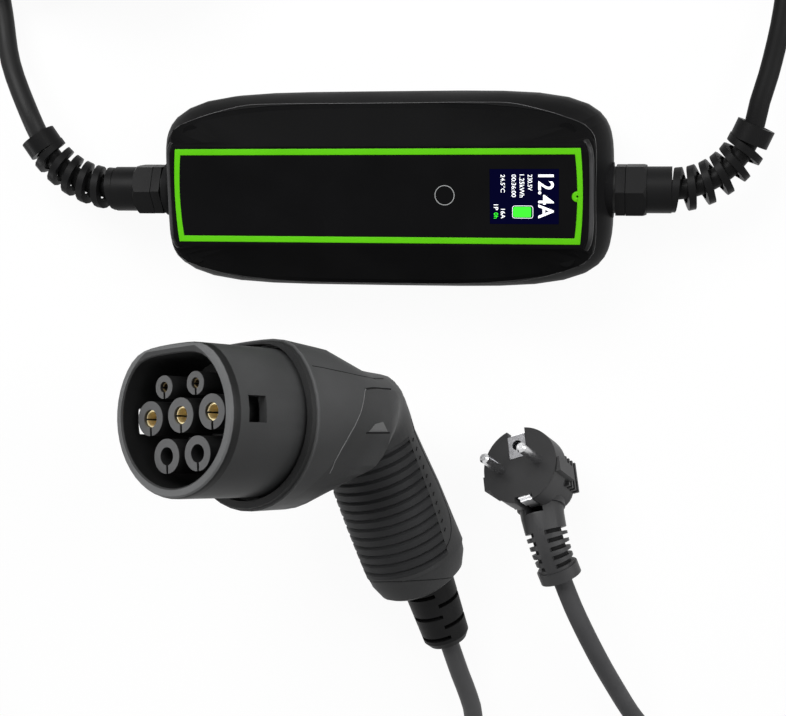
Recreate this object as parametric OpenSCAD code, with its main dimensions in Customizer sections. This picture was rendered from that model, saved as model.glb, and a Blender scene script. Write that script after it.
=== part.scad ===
// Portable charger for electric cars: a control box with a display, a charging
// cable that ends in a seven-pole vehicle connector, and a mains lead that ends
// in an angled plug. Everything lies on one surface, box face up, Z = 0.

/* [Control box] */
// Length of the control box
box_l = 210; // [190:1:250]
// Width of the control box
box_w = 89.4; // [84:0.2:110]
// Height of the control box
box_h = 50; // [48:0.5:58]
// Wall of both shells
wall = 2.6; // [2.2:0.1:3]
// Height of the parting line between tub and cover
part_z = 42; // [40:0.5:43.5]
// Height of the widest section of the tub
waist_z = 22; // [19:0.5:25]
// How far the parting line stands in from the ends
crease_end = 6.3; // [4:0.1:8]
// How far the parting line stands in from the long sides
crease_side = 3.9; // [2.5:0.1:5]
// Length of the straight run along the long side of the parting line
crease_run_l = 124; // [100:1:140]
// Length of the straight run across the end of the parting line
crease_run_w = 63; // [54:1:70]

/* [Front] */
// Length of the green frame
frame_l = 184.5; // [170:0.5:190]
// Width of the green frame
frame_w = 42.4; // [40:0.2:48]
// Width of the frame's long bands
frame_band = 2.8; // [2:0.1:4]
// Width of the frame's end bands
frame_end_band = 2.4; // [2:0.1:4]
// How far the frame's ends bow out
frame_bow = 1.1; // [0:0.1:2]
// Thickness of the frame and of the front panel
panel_t = 1.6; // [1.2:0.1:2]
// Length of the display along the box
screen_l = 30.4; // [24:0.2:34]
// Width of the display across the box
screen_w = 24.2; // [20:0.2:28]
// Display centre from the end of the frame
screen_in = 24.6; // [22:0.2:28]

/* [Glands and cables] */
// Height of the gland axis over the base
gland_z = 23; // [21:0.5:25]
// Hexagon of the glands across flats
gland_af = 22; // [20:0.5:24]
// Diameter of the gland thread
gland_thread = 16; // [14:0.5:16.5]
// Diameter of the charging cable
charge_d = 9.4; // [8.6:0.2:9.8]
// Diameter of the mains cable
mains_d = 9; // [8:0.2:9.8]
// Bend radius of the charging cable's spiral relief
charge_bend = 42; // [38:1:46]
// Bend radius of the mains cable's spiral relief
mains_bend = 36; // [36:1:44]
// Turns of the spiral reliefs
relief_turns = 6; // [4:1:6]
// Pitch of the spiral reliefs
relief_pitch = 6.9; // [6.4:0.1:7.2]
// Outer diameter of the spiral at its root
relief_d = 20.4; // [19:0.2:21]
// Width of the spiral strip
relief_strip = 4; // [3:0.1:4.4]

/* [Vehicle connector] */
// Outer radius of the nose
nose_r = 34.6; // [33.4:0.1:36]
// Height of the flat on top of the nose
nose_flat = 29.8; // [28.6:0.1:31]
// Wall of the nose
nose_wall = 4.4; // [3.8:0.1:4.8]
// How far the nose stands out of the collar
nose_out = 43; // [40:0.5:46]
// Depth of the nose cavity
cavity_depth = 38; // [35:0.5:40]
// Spacing of the power contacts
power_pitch = 18; // [17:0.1:18.4]
// Diameter of the power contact sleeves
power_sleeve = 14.6; // [13.2:0.1:14.8]
// Diameter of the signal contact sleeves
signal_sleeve = 9.8; // [8.8:0.1:10.2]
// Bore of the power contacts
power_bore = 6.1; // [6:0.05:6.2]
// Bore of the signal contacts
signal_bore = 3.1; // [3:0.05:3.2]
// Radius of the collar
collar_r = 40.6; // [39.8:0.1:42]
// Angle between nose and handle
handle_angle = 116; // [112:1:122]
// Length of the handle's inner side
handle_l = 66; // [56:1:74]
// Width of the handle
handle_w = 45.4; // [43:0.2:47]
// Depth of the handle
handle_d = 53; // [50:0.2:55]
// Ribs on the grip
grip_ribs = 13; // [8:1:15]

/* [Mains plug] */
// Diameter of the plug's face
plug_d = 37.5; // [36:0.1:39]
// Depth of the plug behind its face
plug_depth = 33; // [30:0.5:38]
// Diameter of the plug pins
pin_d = 4.8; // [4.7:0.05:4.9]
// Length of the plug pins
pin_l = 19; // [18:0.1:20]
// Spacing of the plug pins
pin_pitch = 19; // [18.5:0.1:19.5]
// Length of the plug's strain relief
boot_l = 33; // [30:1:40]

/* [Hidden] */
screen_x = frame_l / 2 - screen_in;

$fn = 48;
eps = 0.01;
clearance = 0.15;

// Points round the box's sections, a quarter at a time
quarter_sides = 16;
end_sides = 6;
shell_sides = 4 * quarter_sides;
end_x = box_l / 2;
side_y = box_w / 2;
crease_a = end_x - crease_end;
crease_b = side_y - crease_side;
corner_run = [crease_a - crease_run_l / 2, crease_b - crease_run_w / 2];
corner_normal = [corner_run[1], corner_run[0]] / norm(corner_run);
corner_reach = corner_normal * [crease_run_l / 2, crease_b];
outline_power = 5;
crease_power = 16;
plateau_power = 40;
base_inset = 5.5;
plateau_a = frame_l / 2 + frame_bow + 1.6;
plateau_b = frame_w / 2 + 2;
cover_step = 0.5;
pocket_z = box_h - panel_t;

// Screw posts at the four corners and under the board
post_x = crease_a - 13;
post_y = crease_b - 13;
post_d = 8;
screw_d = 3;
screw_head_d = 5.6;
screw_head_h = 2.4;
gasket_w = 1;
gasket_h = 0.8;
gasket_inset = 0.8;

// Board and what it carries
board_l = 150;
board_w = 60;
board_t = 1.6;
board_z = 12;
board_top = board_z + board_t;
board_post_x = board_l / 2 - 5;
board_post_y = board_w / 2 - 5;
terminal_l = 20;
terminal_w = 26;
terminal_h = 18;
terminal_x = board_l / 2 - terminal_l / 2 - 10;

// Gland, measured outward from its flat seat on the box
seat_x = end_x + 0.4;
seat_d = gland_af + 3;
gasket_t = 1;
flange_t = 4.4;
nut_l = 9.2;
sleeve_l = 11;
pad_in = wall + 3.6;
thread_in = pad_in + 6;
lock_t = 3.6;
flange_x = gasket_t;
nut_x = flange_x + flange_t + clearance;
sleeve_x = nut_x + nut_l;
relief_x = sleeve_x + sleeve_l;
sleeve_d = gland_af - 1;
gland_bore = max(charge_d, mains_d) + 1.6;
seal_d = gland_thread - 3;
relief_bore = gland_bore + 1.2;
relief_end_l = 8;
relief_end_d = 17.4;
relief_taper = 1.1;
relief_tip = relief_turns * relief_pitch;
strip_steps = 18;

// Connector, X out of its face, Z up, origin in the middle of the rim
nose_sides = 48;
rim_round = 2.4;
nose_tail = 15;
insert_t = 6;
tower_front = 5;
window_l = 10.4;
window_h = 11;
window_x = 14.8;
power_places = [[-power_pitch, 0], [0, 0], [power_pitch, 0]];
spare_places = [[-power_pitch / 2, -16.4], [power_pitch / 2, -16.4]];
signal_places = [[-9.2, 12.5], [9.2, 12.5]];
contact_wall = 0.6;
contact_back = 1.4;
contact_l = cavity_depth - 10;
slot_w = 1.2;
collar_gap = 1.6;
collar_flat = nose_flat + 3.4;
collar_lip = 1;
collar_l = 24;
head_l = 64;
pivot = [-nose_out - head_l, -17.6];
elbow_h = 41;
elbow_d = handle_d - 10;
elbow_hump = 0.6;
notch_turn = 0.74;
notch_run = 13;
notch_in = 3;
notch_slope = -10;
body_sides = 40;
grip_sides = 24;
groove_half = 0.2;
turn = 180 - handle_angle;
grip_t = 2;
grip_start = 2;
grip_end = 2;
rib_depth = 1.2;
cap_l = 13;
cable_back = 0.56;
protector_l = 35;
protector_d1 = 26;
protector_d2 = 23;
slit_rows = 5;

// Where the connector lies: its place, heading on the surface, roll and the dip of its handle
connector_at = [-67.2, -79, 142.5];
connector_heading = -76;
connector_roll = 24;
connector_tilt = 6;

// Plug, X along its pins, cable leaving towards -Z, origin in the middle of its face
plug_sides = 40;
rim_t = 12;
boot_x = -plug_depth / 2 - 3;
boot_top = 12;
boot_d1 = 21.6;
boot_d2 = 18;
boot_ring_d = 20;
boot_ring_l = 5;
boot_bend = 39;
boot_rows = 5;
boot_slot = 2;
boot_spine = 5.6;
clip_w = 6;
clip_t = 0.8;
clip_l = 15;
notch_w = 9;
notch_depth = 3.4;
earth_z = 10.2;
earth_socket_d = 7;
earth_bore = 4.9;
guide_w = 7;
plate_w = 9.2;
plate_t = 0.8;
plate_low = earth_z - 6.4;
pin_root = 14;
pin_root_d = pin_d - 0.8;
pin_tip = 1.2;
guide_l = 16;
guide_in = 1.6;
guide_out = 1.1;
guide_low = 4.2;

// Where the plug lies: its place, heading, rise of its cable end and roll
plug_at = [63.4, -128.4, 32.3];
plug_heading = -77;
plug_rise = 38.5;
plug_roll = 13;

// Coil of the charging cable
coil_at = [-130, 168];
coil_columns = 3;
coil_layers = 4;
coil_mean_r = 56;
coil_pitch = charge_d + 0.3;
coil_base = 1.4;
tie_t = 1;
tie_w = 14;
tie_slack = 0.6;

// Routes of the free cables, chosen by hand
cable_sides = 8;
charge_route = [
    [-185, 60, 16], [-190, 84, 9.5], [-194, 108, 6.6], [-197, 132.5, 6.2]
];
connector_route = [
    [-165, 101, 17], [-182, 100, 18], [-199.5, 96.5, 17.4], [-214.5, 86.5, 14.5], [-224.5, 71.5, 10],
    [-228, 54, 6.4], [-230, 28, 4.9], [-233, -20, 4.8], [-236, -80, 4.8], [-239, -140, 4.8],
    [-242, -200, 4.8], [-244, -244, 4.8], [-244, -271, 4.8], [-240.5, -288, 4.8], [-231, -302, 4.8],
    [-217, -311.5, 4.8], [-200, -315, 4.8], [-170, -315, 4.8], [-120, -315, 4.8], [-70, -315, 4.8],
    [-30, -315, 4.8], [-6, -313, 4.8], [10.5, -309.5, 5.2], [24.5, -300, 6.4], [34, -286, 8.4],
    [37.5, -269, 11.2], [35.5, -256.5, 13.8]
];
mains_route = [
    [171.8, 50, 20], [176.5, 71, 14], [179.5, 92, 8.8], [182.5, 107.5, 6.2], [191, 120.5, 4.9],
    [204, 129, 4.6], [219.5, 132, 4.6], [235, 129, 4.6], [248, 120.5, 4.6], [256.5, 107.5, 4.6],
    [259.5, 92, 4.6], [258, 56, 4.6], [253, 10, 4.6], [245, -50, 4.6], [236, -110, 4.6],
    [226, -180, 4.6], [219, -225, 4.6], [214.5, -262, 4.6], [203.5, -278.5, 4.6], [187, -289, 4.6],
    [168, -293, 4.6], [149, -290, 4.9], [131.5, -279.5, 7.4], [118.5, -262.5, 13.4], [108, -241, 22.6],
    [99, -219.5, 32]
];

// Superellipse and polar helpers
function oval_r(t, a, b, p) = pow(pow(abs(cos(t)) / a, p) + pow(abs(sin(t)) / b, p), -1 / p);
function crease_r(t, inset) =
    let (c = abs(cos(t)), s = abs(sin(t)), p = crease_power)
    pow(
        pow(c / (crease_a - inset), p) + pow(s / (crease_b - inset), p)
        + pow((c * corner_normal[0] + s * corner_normal[1]) / (corner_reach - inset), p),
        -1 / p
    );
// Angle of point j in the first quarter, with one point on the plateau's corner
function quarter_angle(j) =
    j <= end_sides
        ? atan2(plateau_b * j / end_sides, plateau_a)
        : atan2(plateau_b, plateau_a * (quarter_sides - j) / (quarter_sides - end_sides));
function shell_angle(i) =
    let (half = i % (2 * quarter_sides), turned = i < 2 * quarter_sides ? 0 : 180)
    turned + (half <= quarter_sides ? quarter_angle(half) : 180 - quarter_angle(2 * quarter_sides - half));
function polar(r, t, z) = [r * cos(t), r * sin(t), z];

// Section of the tub: k runs from 0 at the waist to 1 at the parting line
function tub_ring(z, k, inset) = [
    for (i = [0 : shell_sides - 1])
        let (t = shell_angle(i))
        let (r = oval_r(t, end_x - inset, side_y - inset, outline_power))
        polar((1 - k) * r + k * crease_r(t, inset), t, z)
];
// Section of the cover: k runs from 0 at the parting line to 1 at the plateau
function cover_ring(z, k, inset) = [
    for (i = [0 : shell_sides - 1])
        let (t = shell_angle(i))
        let (r = oval_r(t, plateau_a - inset, plateau_b - inset, plateau_power))
        polar((1 - k) * crease_r(t, inset) + k * r, t, z)
];
function shoulder(u, inset) =
    tub_ring(waist_z + u * (part_z - waist_z), 1 - cos(90 * u), inset);
function total(list, i = 0) = i < len(list) - 1 ? list[i] + total(list, i + 1) : list[i];
function middle(ring) = total(ring) / len(ring);
function flat(ring) = [for (p = ring) [p[0], p[1]]];

// Solid through rings of equal count, capped at both ends or joined end to end
module loft(rings, joined = false) {
    n = len(rings[0]);
    m = len(rings);
    points = concat([for (ring = rings) each ring], [middle(rings[0]), middle(rings[m - 1])]);
    bands = joined ? m - 1 : m - 2;
    walls = [
        for (j = [0 : bands], i = [0 : n - 1])
            let (a = j * n + i, b = j * n + (i + 1) % n)
            let (c = (j + 1) % m * n + (i + 1) % n, d = (j + 1) % m * n + i)
            each [[a, d, c], [a, c, b]]
    ];
    last = (m - 1) * n;
    caps = joined ? [] : [
        for (i = [0 : n - 1])
            let (k = (i + 1) % n)
            each [[m * n, i, k], [m * n + 1, last + k, last + i]]
    ];
    polyhedron(joined ? [for (ring = rings) each ring] : points, concat(walls, caps));
}

function unit(v) = v / norm(v);
function tangent(p, i) = unit(p[min(i + 1, len(p) - 1)] - p[max(i - 1, 0)]);
function side_of(t) = unit(cross(t, abs(t[2]) > 0.9 ? [1, 0, 0] : [0, 0, 1]));

// Round cable along a path
module cable(path, d) {
    loft([
        for (i = [0 : len(path) - 1])
            let (t = tangent(path, i), s = side_of(t), u = cross(s, t))
            [for (k = [0 : cable_sides - 1])
                let (a = 360 * k / cable_sides)
                path[i] + d / 2 * (cos(a) * u + sin(a) * s)]
    ]);
}

// Hexagonal prism along X
module hex_x(x, l, af) {
    translate([x, 0, 0]) rotate([0, 90, 0]) cylinder(r = af / sqrt(3), h = l, $fn = 6);
}
// Cylinder along X
module rod_x(x, l, d) {
    translate([x, 0, 0]) rotate([0, 90, 0]) cylinder(d = d, h = l);
}
// Frustum along X
module cone_x(x, l, d1, d2) {
    translate([x, 0, 0]) rotate([0, 90, 0]) cylinder(d1 = d1, d2 = d2, h = l);
}

// Places of the sub-assemblies
module at_gland(side) {
    translate([side * seat_x, 0, gland_z]) scale_side(side) children();
}
module scale_side(side) {
    if (side > 0) children();
    else mirror([1, 0, 0]) children();
}
module at_connector() {
    translate(connector_at) rotate([0, 0, connector_heading]) rotate([connector_roll, 0, 0])
        rotate([0, connector_tilt - handle_angle, 0]) children();
}
module at_plug() {
    translate(plug_at) rotate([0, 0, plug_heading]) rotate([0, -plug_rise, 0])
        rotate([plug_roll, 0, 0]) rotate([0, -90, 0]) children();
}
// The same places for single points
function turn_x(p, a) = [p[0], p[1] * cos(a) - p[2] * sin(a), p[1] * sin(a) + p[2] * cos(a)];
function turn_y(p, a) = [p[0] * cos(a) + p[2] * sin(a), p[1], p[2] * cos(a) - p[0] * sin(a)];
function turn_z(p, a) = [p[0] * cos(a) - p[1] * sin(a), p[0] * sin(a) + p[1] * cos(a), p[2]];
function on_connector(p) =
    let (q = turn_x(turn_y(p, connector_tilt - handle_angle), connector_roll))
    connector_at + turn_z(q, connector_heading);
function on_plug(p) =
    plug_at + turn_z(turn_y(turn_x(turn_y(p, -90), plug_roll), -plug_rise), plug_heading);
module at_corners(x, y) {
    for (sx = [-1, 1], sy = [-1, 1]) translate([sx * x, sy * y, 0]) children();
}

// Centre line of a spiral relief of bend radius r, at arc length s from its root
function relief_turn(s, r) = s / r * 180 / PI;
function relief_point(s, r) =
    let (a = relief_turn(s, r)) [relief_x + r * sin(a), r * (1 - cos(a)), 0];
function relief_across(s, r, phi) =
    let (a = relief_turn(s, r)) [-sin(a) * cos(phi), cos(a) * cos(phi), sin(phi)];
function relief_along(s, r) = let (a = relief_turn(s, r)) [cos(a), sin(a), 0];
relief_last = relief_tip + relief_end_l;

/* Control box */

module lower_shell() {
    outer = concat(
        [
            tub_ring(0, 0, base_inset), tub_ring(1.2, 0, base_inset * 0.5),
            tub_ring(4.5, 0, base_inset * 0.18), tub_ring(12, 0, 0.2), tub_ring(waist_z, 0, 0)
        ],
        [for (u = [0.3, 0.6, 0.8, 1]) shoulder(u, 0)]
    );
    inner = concat(
        [for (u = [1, 0.6, 0.3]) shoulder(u, wall)],
        [tub_ring(waist_z, 0, wall), tub_ring(6, 0, wall + 0.9), tub_ring(wall, 0, base_inset + wall)]
    );
    color("#191a1b")
    difference() {
        union() {
            loft(concat(outer, inner));
            at_corners(post_x, post_y)
                translate([0, 0, wall / 2]) cylinder(d = post_d, h = part_z - wall / 2 - clearance);
            at_corners(board_post_x, board_post_y)
                translate([0, 0, wall / 2]) cylinder(d = post_d, h = board_z - wall / 2);
            for (side = [-1, 1]) at_gland(side) rod_x(-pad_in, pad_in, seat_d);
        }
        for (side = [-1, 1]) at_gland(side) rod_x(-pad_in - 1, pad_in + 2, gland_thread + 2 * clearance);
        at_corners(post_x, post_y) {
            translate([0, 0, -1]) cylinder(d = screw_d + 2 * clearance, h = part_z + 2);
            translate([0, 0, -1]) cylinder(d = screw_head_d + 2 * clearance, h = screw_head_h + 2);
        }
        at_corners(board_post_x, board_post_y)
            translate([0, 0, wall + 1]) cylinder(d = screw_d, h = board_z);
        translate([0, 0, part_z - gasket_h]) gasket_band(gasket_h + 1);
    }
}

// Band that follows the parting line, where the gasket lies
module gasket_band(h) {
    linear_extrude(h) difference() {
        polygon(flat(tub_ring(0, 1, gasket_inset)));
        polygon(flat(tub_ring(0, 1, gasket_inset + gasket_w)));
    }
}

module shell_gasket() {
    color("#2b2b2b") translate([0, 0, part_z - gasket_h]) gasket_band(gasket_h);
}

module upper_shell() {
    rise = box_h - part_z;
    inner = [cover_ring(pocket_z - wall, 0.8, wall), cover_ring(part_z, 0.12, wall)];
    outer = [
        cover_ring(part_z, 0, cover_step), cover_ring(part_z + 1, 0, cover_step * 0.6),
        cover_ring(part_z + 0.3 * rise, 0.12, 0), cover_ring(part_z + 0.82 * rise, 0.85, 0),
        cover_ring(box_h - 0.3, 1, 0), cover_ring(box_h, 1, 1)
    ];
    color("#191a1b")
    difference() {
        union() {
            loft(concat(inner, outer));
            at_corners(post_x, post_y)
                translate([0, 0, part_z]) cylinder(d = post_d, h = 0.4 * rise);
        }
        translate([0, 0, pocket_z]) linear_extrude(panel_t + 1)
            frame_outline(frame_l / 2 + clearance, frame_w / 2 + clearance);
        translate([screen_x, 0, pocket_z - wall / 2])
            cube([screen_l + 2 * clearance, screen_w + 2 * clearance, 3 * wall], center = true);
        at_corners(post_x, post_y)
            translate([0, 0, part_z - 1]) cylinder(d = screw_d, h = 0.4 * rise + 0.6);
    }
}

module shell_screws() {
    color("#8c8f92")
    at_corners(post_x, post_y) difference() {
        union() {
            cylinder(d = screw_d, h = part_z + 0.3 * (box_h - part_z));
            cylinder(d = screw_head_d, h = screw_head_h + 1);
        }
        translate([0, 0, -1]) cylinder(d = screw_head_d + 2, h = 2);
        translate([0, 0, 1]) cube([3.4, 0.8, 1.4], center = true);
        translate([0, 0, 1]) cube([0.8, 3.4, 1.4], center = true);
    }
}

// Rectangle with bowed ends, of half length hx and half width hy
module frame_outline(hx, hy) {
    bow_steps = 8;
    edge = [
        for (i = [0 : bow_steps])
            let (v = -1 + 2 * i / bow_steps) [hx + frame_bow * (1 - v * v), v * hy]
    ];
    polygon(concat(edge, [for (p = edge) -p]));
}

module frame_boss(h, d) {
    translate([frame_l / 2 + frame_bow - frame_end_band, 0, pocket_z]) cylinder(d = d, h = h);
}

module front_frame() {
    boss_d = 2 * frame_end_band;
    color("#5fcf12")
    difference() {
        union() {
            translate([0, 0, pocket_z]) linear_extrude(panel_t + 0.15) difference() {
                frame_outline(frame_l / 2, frame_w / 2);
                frame_outline(frame_l / 2 - frame_end_band, frame_w / 2 - frame_band);
            }
            frame_boss(panel_t + 0.15, boss_d);
        }
        frame_boss(panel_t + 1, 0.9);
    }
}

module front_panel() {
    gap = clearance / 2;
    color("#0a0a0b")
    difference() {
        translate([0, 0, pocket_z]) linear_extrude(panel_t)
            frame_outline(frame_l / 2 - frame_end_band - gap, frame_w / 2 - frame_band - gap);
        frame_boss(panel_t + 1, 2 * frame_end_band + 2 * gap);
        translate([screen_x, 0, box_h])
            cube([screen_l + 2 * gap, screen_w + 2 * gap, 4 * panel_t], center = true);
    }
}

module display_screen() {
    flange = 2.4;
    color("#0b1020")
    union() {
        translate([screen_x - screen_l / 2, -screen_w / 2, pocket_z - wall - 1])
            cube([screen_l, screen_w, wall + 1 + panel_t - 0.1]);
        translate([screen_x - screen_l / 2 - flange, -screen_w / 2 - flange, pocket_z - wall - 1.2])
            cube([screen_l + 2 * flange, screen_w + 2 * flange, 1.2]);
    }
}

module main_board() {
    color("#1f5a34")
    translate([0, 0, board_z]) difference() {
        translate([-board_l / 2, -board_w / 2, 0]) cube([board_l, board_w, board_t]);
        at_corners(board_post_x, board_post_y)
            translate([0, 0, -1]) cylinder(d = screw_d + 2 * clearance, h = board_t + 2);
    }
}

module board_screws() {
    color("#b4b7ba")
    at_corners(board_post_x, board_post_y) {
        translate([0, 0, wall + 2]) cylinder(d = screw_d, h = board_top - wall - 2);
        translate([0, 0, board_top]) cylinder(d = screw_head_d, h = screw_head_h);
    }
}

// Sealed relay with a stepped top
module relay(at) {
    color("#20304a")
    translate([at[0], at[1], board_top]) {
        translate([-15, -8, 0]) cube([30, 16, 18]);
        translate([-13, -6, 18]) cube([26, 12, 1.2]);
    }
}
module live_relay() { relay([-22, 14]); }
module neutral_relay() { relay([-22, -14]); }

module current_sensor() {
    color("#3a3a3c")
    translate([14, 14, board_top]) difference() {
        cylinder(d = 24, h = 11);
        translate([0, 0, -1]) cylinder(d = 11, h = 13);
    }
}

module power_supply() {
    color("#17181a")
    translate([14, -13, board_top]) {
        translate([-17, -11, 0]) cube([34, 22, 15]);
        translate([-15, -9, 15]) cube([30, 18, 1]);
    }
}

// Screw terminal block facing the gland on its side
module terminal(side) {
    color("#2f6b46")
    translate([side * terminal_x, 0, board_top]) difference() {
        translate([-terminal_l / 2, -terminal_w / 2, 0]) cube([terminal_l, terminal_w, terminal_h]);
        for (y = [-8, 0, 8])
            translate([0, y, terminal_h - 4]) cylinder(d = 4, h = 6);
    }
}
module mains_terminal() { terminal(1); }
module charge_terminal() { terminal(-1); }

/* Cable glands */

module gland_body(side) {
    color("#1c1c1d")
    at_gland(side) difference() {
        union() {
            hex_x(flange_x, flange_t, gland_af);
            rod_x(-thread_in, thread_in + flange_x, gland_thread);
            rod_x(flange_x + flange_t - eps, 5, gland_thread);
        }
        rod_x(-thread_in - 1, thread_in + flange_t + 8, gland_bore);
    }
}

module gland_gasket(side) {
    color("#111111")
    at_gland(side) difference() {
        rod_x(0, gasket_t, gland_af - 1);
        rod_x(-1, gasket_t + 2, gland_thread + 2 * clearance);
    }
}

module lock_nut(side) {
    color("#1c1c1d")
    at_gland(side) difference() {
        hex_x(-pad_in - lock_t, lock_t, gland_af);
        rod_x(-pad_in - lock_t - 1, lock_t + 2, gland_thread + 2 * clearance);
    }
}

module gland_seal(side, d) {
    color("#262626")
    at_gland(side) difference() {
        rod_x(nut_x + 5, sleeve_x - nut_x - 4.6, seal_d);
        rod_x(nut_x, nut_l + 4, d + clearance);
    }
}

// Clamping nut whose outer end runs out into a spiral strip and a ring
module gland_nut(side, bend) {
    r_in = relief_bore / 2 + 0.4;
    steps = relief_turns * strip_steps;
    start = -relief_strip * 0.5;
    strip = [
        for (i = [0 : steps])
            let (u = i / steps, s = start + u * (relief_tip + relief_strip * 0.7))
            let (phi = -90 - 360 * relief_turns * u, q = max(s, 0))
            let (r = relief_d / 2 - relief_taper * u, w = relief_strip / 2)
            let (c = relief_point(q, bend) + [min(s, 0), 0, 0])
            let (e = relief_across(q, bend, phi), t = relief_along(q, bend))
            [c + e * r - t * w * 0.8, c + e * r + t * w * 0.8, c + e * r_in + t * w, c + e * r_in - t * w]
    ];
    color("#161616")
    at_gland(side) difference() {
        union() {
            intersection() {
                hex_x(nut_x, nut_l, gland_af);
                cone_x(nut_x, nut_l, gland_af + 2 * nut_l, gland_af + 0.4);
            }
            rod_x(sleeve_x - eps, sleeve_l + eps, sleeve_d);
            loft(strip);
            translate(relief_point(relief_tip, bend)) rotate([0, 0, relief_turn(relief_tip, bend)])
                rod_x(0, relief_end_l, relief_end_d);
        }
        rod_x(nut_x - 1, 6, gland_thread + 2 * clearance);
        rod_x(nut_x - 1, nut_l + 1.6, seal_d + 2 * clearance);
        rod_x(nut_x, nut_l + sleeve_l + 3, relief_bore);
        translate(relief_point(relief_tip, bend)) rotate([0, 0, relief_turn(relief_tip, bend)])
            rod_x(-3, relief_end_l + 4, relief_bore);
    }
}

module charge_gland_body() { gland_body(-1); }
module charge_gland_gasket() { gland_gasket(-1); }
module charge_lock_nut() { lock_nut(-1); }
module charge_gland_seal() { gland_seal(-1, charge_d); }
module charge_gland_nut() { gland_nut(-1, charge_bend); }
module mains_gland_body() { gland_body(1); }
module mains_gland_gasket() { gland_gasket(1); }
module mains_lock_nut() { lock_nut(1); }
module mains_gland_seal() { gland_seal(1, mains_d); }
module mains_gland_nut() { gland_nut(1, mains_bend); }

/* Vehicle connector */

// Circle of radius r with a flat top at height h and soft corners
function flat_top_r(t, r, h) = pow(pow(1 / r, 14) + pow(max(sin(t), 0) / h, 14), -1 / 14);
function nose_ring(x, r, h) = [
    for (i = [0 : nose_sides - 1])
        let (t = 360 * i / nose_sides, q = flat_top_r(t, r, h))
        [x, q * cos(t), q * sin(t)]
];

module nose_shroud() {
    back = -nose_out - nose_tail;
    outer = concat(
        [nose_ring(back, nose_r, nose_flat)],
        [for (a = [0, 30, 60, 90])
            nose_ring(-rim_round * (1 - sin(a)), nose_r - rim_round * (1 - cos(a)),
                nose_flat - rim_round * (1 - cos(a)))]
    );
    inner_r = nose_r - nose_wall;
    inner_flat = nose_flat - nose_wall;
    inner = [
        nose_ring(0, inner_r + 0.5, inner_flat + 0.5), nose_ring(-0.6, inner_r, inner_flat),
        nose_ring(back, inner_r, inner_flat)
    ];
    color("#3b3c3e")
    difference() {
        at_connector() loft(concat(outer, inner), joined = true);
        at_connector() translate([-window_x, 0, 0])
            cube([window_l, 3 * nose_r, window_h], center = true);
    }
}

// Slotted tower round a contact, along X
module tower(place, d, bore) {
    translate([0, place[0], place[1]]) difference() {
        rod_x(-cavity_depth - 1, cavity_depth + 1 - tower_front, d);
        rod_x(-cavity_depth - insert_t - 1, cavity_depth + insert_t + 2, bore);
        translate([-tower_front - 8, -slot_w / 2, -d]) cube([9, slot_w, d]);
    }
}

module contact_insert() {
    inner_r = nose_r - nose_wall - clearance;
    inner_flat = nose_flat - nose_wall - clearance;
    power_hole = power_bore + 2 * contact_wall + 2 * clearance;
    signal_hole = signal_bore + 2 * contact_wall + 2 * clearance;
    color("#5a5b5d")
    at_connector() {
        difference() {
            loft([
                nose_ring(-cavity_depth - insert_t, inner_r, inner_flat),
                nose_ring(-cavity_depth, inner_r, inner_flat)
            ]);
            for (p = concat(power_places, spare_places)) translate([0, p[0], p[1]])
                rod_x(-cavity_depth - insert_t - 1, insert_t + 2, power_hole);
            for (p = signal_places) translate([0, p[0], p[1]])
                rod_x(-cavity_depth - insert_t - 1, insert_t + 2, signal_hole);
        }
        for (p = concat(power_places, spare_places)) tower(p, power_sleeve, power_hole);
        for (p = signal_places) tower(p, signal_sleeve, signal_hole);
    }
}

// Turned socket contact with two spring slits
module contact(place, bore) {
    front = -tower_front - contact_back;
    d = bore + 2 * contact_wall;
    color("#c9a24a")
    at_connector() translate([0, place[0], place[1]]) difference() {
        rod_x(-cavity_depth - insert_t, cavity_depth + insert_t + front, d);
        rod_x(front - contact_l, contact_l + 1, bore);
        translate([front - 12, -d, -0.4]) cube([13, 2 * d, 0.8]);
    }
}
module neutral_contact() { contact(power_places[0], power_bore); }
module earth_contact() { contact(power_places[1], power_bore); }
module live_contact() { contact(power_places[2], power_bore); }
module pilot_contact() { contact(signal_places[0], signal_bore); }
module proximity_contact() { contact(signal_places[1], signal_bore); }

// Section of head and handle: w and d are half width and half depth, top cuts the outer side
function body_ring(centre, lean, w, d, p, top, n = body_sides) = [
    for (i = [0 : n - 1])
        let (t = 360 * i / n)
        let (r = pow(pow(oval_r(t, w, d, p), -14) + pow(max(sin(t), 0) / top, 14), -1 / 14))
        [centre[0] - r * sin(t) * sin(lean), r * cos(t), centre[1] + r * sin(t) * cos(lean)]
];
// Section that leans round the pivot inside the elbow
function elbow_ring(lean, w, h, p) =
    body_ring(pivot + h / 2 * [-sin(lean), cos(lean)], lean, w, h / 2, p, h / 2 * 0.96);
// Section of the handle, s along it from the elbow
function handle_depth(s) = elbow_d + (handle_d - elbow_d) * s / handle_l;
function handle_centre(s) =
    pivot + handle_depth(s) / 2 * [-sin(turn), cos(turn)] - s * [cos(turn), sin(turn)];
function handle_ring(s, w, inset, n = body_sides) =
    let (d = handle_depth(s) / 2) body_ring(handle_centre(s), turn, w - inset, d - inset, 2.3, d, n);
function handle_swell(u) = 0.7 * sin(180 * u);
// Depth of the elbow between head and handle, u from 0 to 1 round it
function elbow_depth(u) = elbow_h + (elbow_d - elbow_h) * u + elbow_hump * sin(180 * u);

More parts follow.
